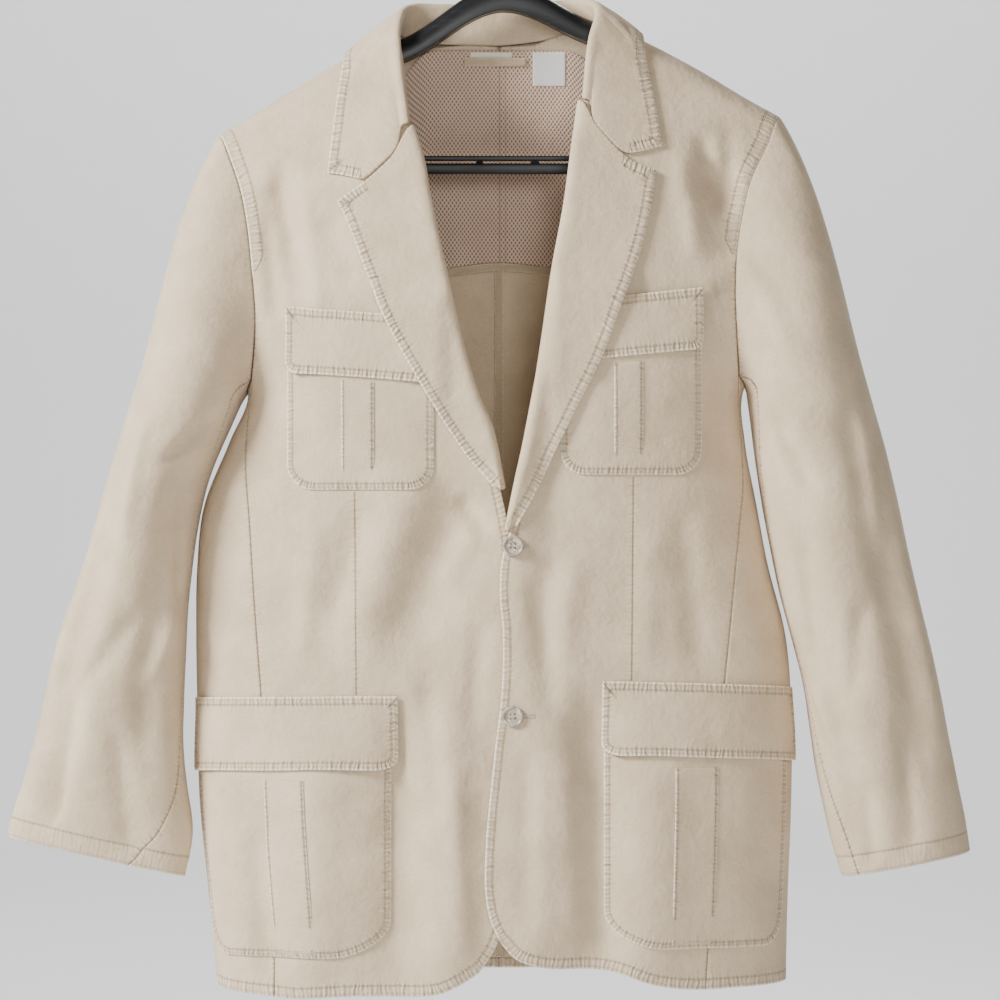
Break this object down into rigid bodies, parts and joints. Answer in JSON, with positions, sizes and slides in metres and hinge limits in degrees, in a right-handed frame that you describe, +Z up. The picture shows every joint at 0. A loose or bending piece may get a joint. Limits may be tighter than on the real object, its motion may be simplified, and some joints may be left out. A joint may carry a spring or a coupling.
{
  "type": "safari jacket on a hanger",
  "caption": "Khaki safari jacket with notched lapels, buttoned front and flapped patch pockets, hanging from a black plastic hanger.",
  "frame": {"origin": "point of the hook's inner face that rests on the rod", "axes": "+X to the wearer's left, -Y out of the jacket's front, +Z up along the hanging jacket"},
  "size_m": [0.8123, 0.1488, 0.9288],
  "materials": {
    "khaki_twill": "washed twill",
    "lining_mesh": "open mesh",
    "black_plastic": "satin",
    "pearl": "pearly",
    "white_label": "woven"
  },
  "bodies": {
    "root": {"back_left": "khaki_twill", "back_upper_left": "khaki_twill", "back_middle_left": "khaki_twill", "back_right": "khaki_twill", "back_upper_right": "khaki_twill", "back_middle_right": "khaki_twill", "back_seam_binding": "khaki_twill", "button_1": "pearl", "button_2": "pearl", "care_label": "white_label", "chest_flap_left": "khaki_twill", "chest_flap_right": "khaki_twill", "chest_pocket_left": "khaki_twill", "chest_pocket_right": "khaki_twill", "chest_strip_left": "khaki_twill", "chest_strip_right": "khaki_twill", "collar": "khaki_twill", "front_left": "khaki_twill", "front_right": "khaki_twill", "hanger_bar": "black_plastic", "hanger_hook": "black_plastic", "hanger_rail": "black_plastic", "hanger_shoulders": "black_plastic", "hanger_spacer_1": "black_plastic", "hanger_spacer_2": "black_plastic", "hanging_loop": "khaki_twill", "lapel_left": "khaki_twill", "lapel_right": "khaki_twill", "lining_binding": "khaki_twill", "lower_flap_left": "khaki_twill", "lower_flap_right": "khaki_twill", "lower_pocket_left": "khaki_twill", "lower_pocket_right": "khaki_twill", "lower_strip_left": "khaki_twill", "lower_strip_right": "khaki_twill", "mesh_lining": "lining_mesh", "neck_label": "white_label", "side_left": "khaki_twill", "side_right": "khaki_twill", "top_sleeve_left": "khaki_twill", "top_sleeve_right": "khaki_twill", "under_sleeve_left": "khaki_twill", "under_sleeve_right": "khaki_twill"}
  },
  "joints": []
}
